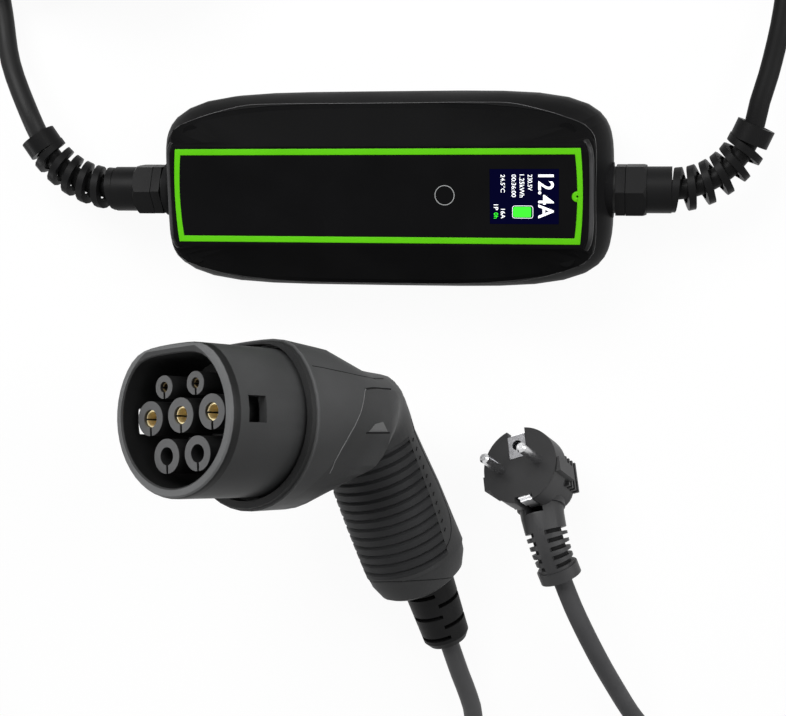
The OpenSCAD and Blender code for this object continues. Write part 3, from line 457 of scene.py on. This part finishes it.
# Painted shade on the collar's front and on the head's lower side, and a painted highlight along the
# collar's edge
collar_front = past(body_tree, nose_axis, collar_start, 0.2)
collar_reach = past(body_tree, nose_axis, collar_edge_start, 0.3)
collar_edge = both(body_tree, collar_reach, opposite(body_tree, collar_front))
tint(body_grey, collar_front, 1, 0.34)
tint(body_grey, collar_edge, 1, 1.5)
behind_head = opposite(body_tree, past(body_tree, nose_axis, head_end, head_end_soft))
head_upper = either(body_tree, behind_head, past(body_tree, nose_up, underside, underside_soft))
tint(body_grey, head_upper, 0.52, 1)


def tint_along(material, way, limit, soft, near, beyond):
    """Multiply the colour by near before a limit along a way from the origin, and by beyond past it."""
    source = past(material.node_tree, np.array(way), limit, soft, (0, 0, 0))
    tint(material, source, near, beyond)


# Painted highlights: the ends of the box are painted lighter as if they caught a little of the side light,
# and the painted highlights along their inner edges fade towards the corners
tint_along(shell_black, (-1.0, 0.0, 0.0), 102.6, 1.2, 1, 3.2)
tint_along(shell_black, (1.0, 0.0, 0.0), 100, 3, 1, 2)
tint_along(end_highlight, (0.0, 1.0, 0.0), 18.5, 4.5, 1, 0.12)
tint_along(end_highlight, (0.0, -1.0, 0.0), 18.5, 4.5, 1, 0.12)

# Painted light and shade on the cords: darker near the box and paler towards the connector and the plug
tint_along(cord_black, (0.0, -1.0, 0.0), 110, 150, 0.5, 4.6)
tint_along(lead_black, (0.0, -1.0, 0.0), 110, 150, 0.6, 9.6)

# Cable routes, in millimetres, as the solids have them
seat_x = 105.4
gland_z = 23.0
relief_x = 25.75
relief_tip = 41.4
relief_last = 49.4
terminal_end = 65.0
straight_end = seat_x + relief_x - 20
straight_run = 10
charge_bend = 42.0
mains_bend = 36.0
charge_d = 9.4
mains_d = 9.0
cable_step = 6
charge_route = [(-185, 60, 16), (-190, 84, 9.5), (-194, 108, 6.6), (-197, 132.5, 6.2)]
connector_route = [
    (-165, 101, 17), (-182, 100, 18), (-199.5, 96.5, 17.4), (-214.5, 86.5, 14.5), (-224.5, 71.5, 10),
    (-228, 54, 6.4), (-230, 28, 4.9), (-233, -20, 4.8), (-236, -80, 4.8), (-239, -140, 4.8),
    (-242, -200, 4.8), (-244, -244, 4.8), (-244, -271, 4.8), (-240.5, -288, 4.8), (-231, -302, 4.8),
    (-217, -311.5, 4.8), (-200, -315, 4.8), (-170, -315, 4.8), (-120, -315, 4.8), (-70, -315, 4.8),
    (-30, -315, 4.8), (-6, -313, 4.8), (10.5, -309.5, 5.2), (24.5, -300, 6.4), (34, -286, 8.4),
    (37.5, -269, 11.2), (35.5, -256.5, 13.8),
    (31.63, -243.27, 16.38), (25.99, -224.18, 18.29), (21.48, -208.9, 19.82),
]
mains_route = [
    (171.8, 50, 20), (176.5, 71, 14), (179.5, 92, 8.8), (182.5, 107.5, 6.2), (191, 120.5, 4.9),
    (204, 129, 4.6), (219.5, 132, 4.6), (235, 129, 4.6), (248, 120.5, 4.6), (256.5, 107.5, 4.6),
    (259.5, 92, 4.6), (258, 56, 4.6), (253, 10, 4.6), (245, -50, 4.6), (236, -110, 4.6),
    (226, -180, 4.6), (219, -225, 4.6), (214.5, -262, 4.6), (203.5, -278.5, 4.6), (187, -289, 4.6),
    (168, -293, 4.6), (149, -290, 4.9), (131.5, -279.5, 7.4), (118.5, -262.5, 13.4), (108, -241, 22.6),
    (99, -219.5, 32), (89.23, -196.78, 35.74), (83.46, -181.86, 35.67), (79.14, -170.66, 35.63),
]
coil_at = np.array([-130.0, 168.0])
coil_pitch = charge_d + 0.3
coil_mean_r = 56.0
coil_base = 1.4
coil_shift = 0.25
coil_cells = [(3, 1), (2, 1), (1, 1), (1, 2), (1, 3), (1, 4), (2, 4), (3, 4), (3, 3), (2, 3), (2, 2), (3, 2)]


def relief_point(side, s, bend):
    """Point s along the bent relief at one end of the box."""
    a = s / bend
    return (side * (seat_x + relief_x + bend * math.sin(a)), bend * (1 - math.cos(a)), gland_z)


def relief_end(side, bend, run):
    """Point on the straight run beyond the relief."""
    a = relief_last / bend
    x, y, z = relief_point(side, relief_last, bend)
    return (x + side * run * math.cos(a), y + run * math.sin(a), z)


def curve_through(points, step):
    """Smooth curve through points, with new ones about a step apart."""
    p = np.array(points, float)
    p = np.vstack([2 * p[0] - p[1], p, 2 * p[-1] - p[-2]])
    out = []
    for i in range(1, len(p) - 2):
        a, b, c, d = p[i - 1], p[i], p[i + 1], p[i + 2]
        t1 = np.linalg.norm(b - a) ** 0.5
        t2 = t1 + np.linalg.norm(c - b) ** 0.5
        t3 = t2 + np.linalg.norm(d - c) ** 0.5
        count = max(2, int(np.linalg.norm(c - b) / step))
        for t in np.linspace(t1, t2, count, endpoint=False):
            u = (t1 - t) / t1 * a + t / t1 * b
            v = (t2 - t) / (t2 - t1) * b + (t - t1) / (t2 - t1) * c
            w = (t3 - t) / (t3 - t2) * c + (t - t2) / (t3 - t2) * d
            q = (t2 - t) / t2 * u + t / t2 * v
            r = (t3 - t) / (t3 - t1) * v + (t - t1) / (t3 - t1) * w
            out.append((t2 - t) / (t2 - t1) * q + (t - t1) / (t2 - t1) * r)
    out.append(p[-2])
    return out


def coil_points(per_turn=40, level_share=0.72):
    """Turns of the coil, each level for a share of its round and then led over to the next cell."""
    out = []
    turns = len(coil_cells) - coil_shift
    total = int(turns * per_turn)
    for i in range(total + 1):
        t = turns * i / total
        k = min(int(t), len(coil_cells) - 1)
        u = max(0.0, (t - k - level_share) / (1 - level_share))
        u = u * u * (3 - 2 * u)
        here = np.array(coil_cells[k], float)
        there = np.array(coil_cells[min(k + 1, len(coil_cells) - 1)], float)
        column, layer = here + u * (there - here)
        r = coil_mean_r + (column - 2) * coil_pitch
        a = math.radians(180 - 360 * t)
        z = coil_base + (layer - 0.5) * coil_pitch
        out.append((coil_at[0] + r * math.cos(a), coil_at[1] + r * math.sin(a), z))
    return out


def add_tube(name, points, d, material, round_steps=5):
    return add_tubes(name, [points], d, material, round_steps)


def add_tubes(name, lines, d, material, round_steps, fade=0.0):
    """Tubes along lines of points, which lose a share of their radius, fade, towards both ends."""
    data = bpy.data.curves.new(name, "CURVE")
    data.dimensions = "3D"
    data.bevel_depth = d / 2 * MM
    data.bevel_resolution = round_steps
    data.use_fill_caps = True
    for points in lines:
        line = data.splines.new("POLY")
        line.points.add(len(points) - 1)
        for point, p, u in zip(line.points, points, np.linspace(-1, 1, len(points))):
            point.co = (p[0] * MM, p[1] * MM, p[2] * MM, 1)
            point.radius = 1 - fade * u ** 4
        line.use_smooth = True
    data.materials.append(material)
    tube = bpy.data.objects.new(name, data)
    bpy.context.collection.objects.link(tube)
    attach(tube, "root")
    return tube


def inner_lead(side, bend, steps=16):
    start = [(side * terminal_end, 0, gland_z), (side * straight_end, 0, gland_z)]
    return start + [relief_point(side, relief_tip * k / steps, bend) for k in range(steps + 1)]


def outer_start(side, bend):
    bent = [relief_point(side, s, bend) for s in (relief_tip + 1, relief_last)]
    return bent + [relief_end(side, bend, straight_run)]


charge_path = curve_through(outer_start(-1, charge_bend) + charge_route, cable_step)
coil_path = coil_points()
into_coil = curve_through([charge_path[-1], coil_path[0]], cable_step)
out_of_coil = curve_through([coil_path[-3], coil_path[-1]] + connector_route, cable_step)
charge_path = charge_path[:-1] + into_coil[:-1] + coil_path[:-3] + out_of_coil
mains_path = curve_through(outer_start(1, mains_bend) + mains_route, cable_step)

charge_cable = add_tube("charge_cable", charge_path, charge_d, cord_black)
mains_cable = add_tube("mains_lead", mains_path, mains_d, lead_black)
add_tube("charge_cable_in_gland", inner_lead(-1, charge_bend), charge_d, jacket_black)
add_tube("mains_lead_in_gland", inner_lead(1, mains_bend), mains_d, jacket_black)

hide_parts("charge_cable_box_side", "charge_cable_coil", "charge_cable_connector_side")
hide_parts("mains_cable")


def as_mesh(name, form):
    """Mesh of a bmesh form, with its faces turned outwards, and the form freed."""
    bmesh.ops.recalc_face_normals(form, faces=form.faces)
    mesh = bpy.data.meshes.new(name)
    form.to_mesh(mesh)
    form.free()
    return mesh


def add_mesh(name, mesh, material):
    mesh.materials.clear()
    mesh.materials.append(material)
    piece = bpy.data.objects.new(name, mesh)
    bpy.context.collection.objects.link(piece)
    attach(piece, "root")
    return piece


# Seams, dots, painted shadow lines and painted highlights of the vehicle connector, x and z in its own
# frame, in millimetres


def as_tree(*names):
    """Skin of CAD nodes that lines can be cast at."""
    points, faces = [], []
    for name in names:
        mesh = nodes[name].data
        first = len(points)
        points += [v.co.copy() for v in mesh.vertices]
        faces += [[first + i for i in face.vertices] for face in mesh.polygons]
    return BVHTree.FromPolygons(points, faces)


handle_skin = as_tree("connector_body", "grip_inlay", "handle_end_cap")
line_sink = 0.1
cast_from = 60
handle_turn = math.radians(64)
elbow_x = -107
elbow_z = -17.6


def on_connector(x, y, z):
    """Place in the part's frame of a point in the connector's own."""
    return Vector(connector_at) + connector_turn @ Vector((x, y, z))


def on_skin(start, way, sink):
    """Point in millimetres where a line meets the connector's skin, sunk into it."""
    place = handle_skin.ray_cast(start * MM, way)[0]
    if place is None:
        return None
    return place / MM + way.normalized() * sink


def side_line(route, side, sink, step=2.0):
    """Points along the skin of one side of the connector, over a route in its x and z."""
    out = []
    for x, z in ((q[0], q[2]) for q in curve_through([(a, 0, b) for a, b in route], step)):
        way = connector_turn @ Vector((0, -side, 0))
        hit = on_skin(on_connector(x, side * cast_from, z), way, sink)
        if hit is not None:
            out.append(hit)
    return out


def on_handle(s, o):
    """Place in the connector's x and z, s along the handle from its elbow and o out from its front."""
    return (
        elbow_x - o * math.sin(handle_turn) - s * math.cos(handle_turn),
        elbow_z + o * math.cos(handle_turn) - s * math.sin(handle_turn),
    )


head_crease = [(-48, 19), (-54, 18.6), (-66, 17.5), (-84, 16.6), (-95, 16.4), (-105, 16.8)]
step_line = [(-82, 10.4), (-88, 11.2), (-96, 11.5), (-104, 11.5)]
head_edge = [
    (-82, 10.4), (-80.4, 9.4), (-79, 7.4), (-75, 0.8), (-70.5, -5.5), (-66.5, -10.8), (-63.6, -16),
    (-62, -21), (-62.4, -26),
]
panel_seam = [on_handle(s, o) for s, o in (
    (-3, 33), (4, 32.4), (14, 33), (26, 34.6), (38, 36.2), (46, 36.6), (51, 35.6), (55, 33), (58.4, 29),
    (60.4, 24), (61.6, 18),
)]
recess_foot = [(-79.4, -9), (-85, -8.9), (-90, -8.8), (-96.6, -8.6)]
recess_corners = [(-80.4, -8.6), (-95.4, -8.2), (-91.4, -3.8), (-85, -5)]
dot_first = 5.0
dot_pitch = 4.75
dot_out = 27.4
dot_count = 11
dot_row = [on_handle(dot_first + dot_pitch * k, dot_out) for k in range(dot_count)]
recess_rows = [(1.0, 0.4), (0.94, -0.12), (0.6, -0.12), (0.2, -0.12)]
cap_seam_at = (-152, 0, -76)


def add_recess(name, side):
    """Shallow four-sided plate at the latch recess that follows the skin, with a sloped edge, in a lighter
    grey that is a painted highlight.
    """
    way = connector_turn @ Vector((0, -side, 0))
    form = bmesh.new()
    middle = np.mean(recess_corners, axis=0)
    rows = []
    for reach, sink in recess_rows:
        row = []
        for k, (x, z) in enumerate(recess_corners):
            after = recess_corners[(k + 1) % len(recess_corners)]
            for u in (0.0, 0.25, 0.5, 0.75):
                q = middle + reach * (np.array((x, z)) * (1 - u) + np.array(after) * u - middle)
                start = on_connector(q[0], side * cast_from, q[1])
                row.append(form.verts.new(on_skin(start, way, sink) * MM))
        rows.append(row)
    count = len(rows[0])
    for here, there in zip(rows, rows[1:]):
        for k in range(count):
            n = (k + 1) % count
            form.faces.new((here[k], here[n], there[n], there[k]))
    form.faces.new(rows[-1])
    return add_mesh(name, as_mesh(name, form), recess_highlight_grey)


# The panel seam is a real seam. The lines along the head's crease, under its step and at the recess foot are
# painted shadow lines, and the line along the head's edge and the latch recess plate are painted highlights
for side, tail in ((1, "right"), (-1, "left")):
    for name, route, d, material in (
        ("head_crease", head_crease, 0.45, seam_and_shadow_dark), ("step_line", step_line, 0.9, seam_and_shadow_dark),
        ("head_edge", head_edge, 0.5, edge_highlight_grey), ("panel_seam", panel_seam, 0.55, seam_and_shadow_dark),
        ("recess_foot", recess_foot, 0.8, seam_and_shadow_dark),
    ):
        add_tube(name + "_" + tail, side_line(route, side, line_sink), d, material, 2)
    add_recess("latch_recess_highlight_" + tail, side)
    dots = [side_line([(x - 0.5, z + 0.8), (x + 0.5, z - 0.8)], side, 0, 0.4) for x, z in dot_row]
    add_tubes("grip_dots_" + tail, dots, 0.75, seam_and_shadow_dark, 2)


def skin_ring(middle, steps=72):
    """Points round the handle in a level plane of the connector's own frame."""
    out = []
    for k in range(steps + 1):
        a = 2 * math.pi * k / steps
        away = Vector((math.cos(a), math.sin(a), 0))
        start = Vector(middle) + cast_from * away
        out.append(on_skin(on_connector(*start), connector_turn @ -away, line_sink))
    return out


add_tube("cap_seam", skin_ring(cap_seam_at), 0.55, seam_and_shadow_dark, 2)

# Dark sheath in the plug's strain relief, partly its real core and partly painted shade in its slots
plug_at = Vector((63.4, -128.4, 32.3))
plug_turn = turned((-77, "Z"), (-38.5, "Y"), (13, "X"), (-90, "Y"))
boot_x = -19.5
boot_top = 12.0
boot_bend = math.radians(39)
boot_l = 33
boot_r = boot_l / boot_bend
sheath_d = 14.8
sheath_start = 0.4
sheath_steps = 12


def boot_point(a):
    """Point on the middle of the bent strain relief, an angle into its bend."""
    back = boot_x - boot_r * (1 - math.cos(a))
    up = -boot_top - boot_r * math.sin(a)
    return plug_at + plug_turn @ Vector((back, 0, up))


sheath_share = np.linspace(sheath_start, 1, sheath_steps + 1)
sheath_path = [boot_point(boot_bend * float(u)) for u in sheath_share]
add_tube("boot_sheath_and_shade", sheath_path, sheath_d, seam_and_shadow_dark, 6)

# Painted light: the plug's back and strain relief are painted paler than its face, as if they caught more
# light
plug_way = np.array(plug_turn.col[0])
plug_face = past(plug_black.node_tree, plug_way, -1.0, 0.5, np.array(plug_at))
tint(plug_black, plug_face, 1.75, 1)

# Painted highlights along the edges of the box's cover, drawn as thin tubes on its skin, x and y in
# millimetres
box_skin = as_tree("upper_shell", "lower_shell")
box_cast_from = 80
cover_edge = [
    (98.4, 0), (98.4, 20), (97.4, 26), (93.6, 30.4), (84, 34.4), (72, 37.8), (61, 40), (46, 40.6), (0, 40.7),
]
inner_edge = [(96.1, 0), (96.0, 12), (95.7, 18), (95.0, 21.4), (94.0, 23.4)]


def box_line(route, sink):
    """Points sunk into the box's upper side, over a route that is mirrored to the box's lower half."""
    whole = [(x, -y) for x, y in reversed(route[1:])] + route
    out = []
    for x, y, z in curve_through([(a, b, 0) for a, b in whole], 2):
        place = box_skin.ray_cast(Vector((x, y, box_cast_from)) * MM, Vector((0, 0, -1)))[0]
        out.append(place / MM - Vector((0, 0, sink)))
    return out


def both_ends(route, sink):
    """The same line at the right and the left end of the box."""
    return [box_line([(x * end, y) for x, y in route], sink) for end in (1, -1)]


# Both are painted highlights: one along the cover's edge, and one wide and flat along the inner edge at each
# end
add_tubes("cover_edge_highlight", both_ends(cover_edge, 0.08), 0.45, cover_highlight, 2)
add_tubes("cover_inner_highlight", both_ends(inner_edge, 1.85), 4, end_highlight, 12, 0.11)

# Readout and touch ring

screen_left = 52.4
screen_top = 12.1
screen_z = 49.9
panel_z = 50.0
words_lift = 0.02
words_t = 0.05


def add_words(name, words, base, start, height, length, weight, material):
    """Words that read towards -Y with their tops to +X, measured from the screen's corner."""
    data = bpy.data.curves.new(name + "_line", "FONT")
    data.body = words
    data.size = 1
    data.offset = weight
    data.extrude = 0.004
    data.resolution_u = 4
    line = bpy.data.objects.new(name + "_line", data)
    bpy.context.collection.objects.link(line)
    seen = line.evaluated_get(bpy.context.evaluated_depsgraph_get())
    mesh = bpy.data.meshes.new_from_object(seen)
    bpy.data.objects.remove(line)
    p = np.array([v.co for v in mesh.vertices])
    low, high = p.min(axis=0), p.max(axis=0)
    for v in mesh.vertices:
        along = (v.co.x - low[0]) / (high[0] - low[0]) * length
        up = (v.co.y - low[1]) / (high[1] - low[1]) * height
        v.co = (
            (screen_left + base + up) * MM,
            (screen_top - start - along) * MM,
            (screen_z + words_lift + words_t * (v.co.z > 0)) * MM,
        )
    mesh.update()
    return add_mesh(name, mesh, material)


def add_plate(name, outline, low, high, material):
    """Flat plate with an outline in millimetres."""
    form = bmesh.new()
    ring = [form.verts.new((x * MM, y * MM, low * MM)) for x, y in outline]
    face = form.faces.new(ring)
    if face.normal.z < 0:
        bmesh.ops.reverse_faces(form, faces=[face])
    made = bmesh.ops.extrude_face_region(form, geom=[face])
    lifted = [g for g in made["geom"] if isinstance(g, bmesh.types.BMVert)]
    bmesh.ops.translate(form, verts=lifted, vec=(0, 0, (high - low) * MM))
    return add_mesh(name, as_mesh(name, form), material)


def rounded(x0, y0, x1, y1, r, steps=5):
    """Outline of a rectangle with round corners."""
    out = []
    corners = (
        (x1 - r, y1 - r, 0), (x0 + r, y1 - r, 90), (x0 + r, y0 + r, 180), (x1 - r, y0 + r, 270),
    )
    for cx, cy, first in corners:
        for k in range(steps + 1):
            a = math.radians(first + 90 * k / steps)
            out.append((cx + r * math.cos(a), cy + r * math.sin(a)))
    return out


def add_ring(name, centre, r, width, low, high, material, sides=96):
    """Thin ring with a softly crowned top."""
    form = bmesh.new()
    profile = [(-0.5, low), (-0.36, high), (0.36, high), (0.5, low)]
    rows = []
    for i in range(sides):
        a = 2 * math.pi * i / sides
        row = []
        for u, z in profile:
            q = r + u * width
            x = centre[0] + q * math.cos(a)
            y = centre[1] + q * math.sin(a)
            row.append(form.verts.new((x * MM, y * MM, z * MM)))
        rows.append(row)
    for i in range(sides):
        here, there = rows[i], rows[(i + 1) % sides]
        for k in range(len(profile)):
            n = (k + 1) % len(profile)
            form.faces.new((here[k], there[k], there[n], here[n]))
    return add_mesh(name, as_mesh(name, form), material)


readout_white = lit("readout_white", (0.8, 0.82, 0.85), 0.9, 0.2)
readout_green = lit("readout_green", (0.03, 0.72, 0.02), 0.9, 0.2)
ring_grey = moulded("ring_grey", (0.3, 0.31, 0.31), rough=(0.4, 0.5), vary=0.06)

words_start = 2.4
add_words("readout_current", "12.4A", 21.4, words_start, 6.9, 19.3, 0.014, readout_white)
add_words("readout_voltage", "230.5V", 16.8, words_start, 2.0, 7.0, 0.0, readout_white)
add_words("readout_energy", "1.25kWh", 13.2, words_start, 2.1, 10.0, 0.0, readout_white)
add_words("readout_time", "00:36:00", 9.7, words_start, 1.9, 9.9, 0.0, readout_white)
add_words("readout_heat", "24.5\u00b0C", 4.9, words_start, 1.9, 7.9, 0.0, readout_white)
add_words("readout_limit", "16A", 4.9, 17.6, 1.9, 4.2, 0.0, readout_white)
add_words("readout_phase", "1P", 1.8, 15.6, 1.9, 2.5, 0.0, readout_white)
add_words("readout_delay", "0h", 1.8, 19.2, 1.9, 2.6, 0.0, readout_green)
battery_x = screen_left + 10.0
battery_y = screen_top - 21.7
add_plate(
    "battery_case", rounded(battery_x, battery_y, battery_x + 9.2, battery_y + 5.6, 1.1),
    screen_z + 0.01, screen_z + 0.04, readout_white,
)
add_plate(
    "battery_gap", rounded(battery_x + 0.18, battery_y + 0.18, battery_x + 9.02, battery_y + 5.42, 1.0),
    screen_z + 0.03, screen_z + 0.06, screen_blue,
)
add_plate(
    "battery_charge", rounded(battery_x + 0.5, battery_y + 0.5, battery_x + 8.3, battery_y + 5.1, 0.8),
    screen_z + 0.05, screen_z + 0.08, readout_green,
)
add_ring("touch_ring", (32.2, 0.5), 4.3, 0.36, panel_z - 0.02, panel_z + 0.04, ring_grey)

# Floor and light

floor_size = 6
floor_z = -0.0002
floor_colour = (0.86, 0.86, 0.86, 1)
floor_white_share = 0.94
world_level = 0.18
light_aim = (0, -0.05, 0)


def seen_plainly(tree):
    """One for rays from the camera, and for those that metal or glass sends on, else zero."""
    path = tree.nodes.new("ShaderNodeLightPath")
    mirrored = either(tree, path.outputs["Is Glossy Ray"], path.outputs["Is Transmission Ray"])
    return either(tree, path.outputs["Is Camera Ray"], mirrored)


def add_floor():
    mesh = bpy.data.meshes.new("floor")
    form = bmesh.new()
    bmesh.ops.create_grid(form, x_segments=1, y_segments=1, size=floor_size)
    form.to_mesh(mesh)
    form.free()
    floor = bpy.data.objects.new("floor", mesh)
    floor.location.z = floor_z
    bpy.context.collection.objects.link(floor)
    m, tree, shader = new_material("floor_white")
    shader.inputs["Base Color"].default_value = floor_colour
    shader.inputs["Roughness"].default_value = 0.9
    shader.inputs["Specular IOR Level"].default_value = 0
    glow = tree.nodes.new("ShaderNodeEmission")
    glow.inputs["Strength"].default_value = 1
    mix = tree.nodes.new("ShaderNodeMixShader")
    keep = tree.nodes.new("ShaderNodeMath")
    keep.operation = "MULTIPLY"
    keep.inputs[1].default_value = floor_white_share
    tree.links.new(seen_plainly(tree), keep.inputs[0])
    tree.links.new(keep.outputs["Value"], mix.inputs["Fac"])
    tree.links.new(shader.outputs["BSDF"], mix.inputs[1])
    tree.links.new(glow.outputs["Emission"], mix.inputs[2])
    tree.links.new(mix.outputs["Shader"], tree.nodes["Material Output"].inputs["Surface"])
    mesh.materials.append(m)


def set_world():
    world = bpy.data.worlds.new("studio")
    world.use_nodes = True
    tree = world.node_tree
    back = tree.nodes["Background"]
    back.inputs["Color"].default_value = (1, 1, 1, 1)
    level = tree.nodes.new("ShaderNodeMapRange")
    level.inputs["To Min"].default_value = world_level
    level.inputs["To Max"].default_value = 1
    tree.links.new(seen_plainly(tree), level.inputs["Value"])
    tree.links.new(level.outputs["Result"], back.inputs["Strength"])
    bpy.context.scene.world = world


add_camera()
add_floor()
set_world()
add_lamp("key", (-0.5, 1.1, 1.2), light_aim, (1.2, 0.8), 30)
add_lamp("fill", (1.0, 0.5, 1.1), light_aim, (0.9, 0.7), 10)
add_lamp("left", (-1.3, -0.6, 0.45), (0, -0.1, 0.05), (0.5, 0.5), 5.5)
add_lamp("right", (1.4, 0.25, 0.45), (0.05, -0.1, 0.03), (0.5, 0.5), 7.5)
add_spot("front", (-0.226, 0.005, 0.443), (-0.067, -0.079, 0.142), 0.05, width=20, power=2.6)
bpy.context.scene.view_settings.view_transform = "Standard"
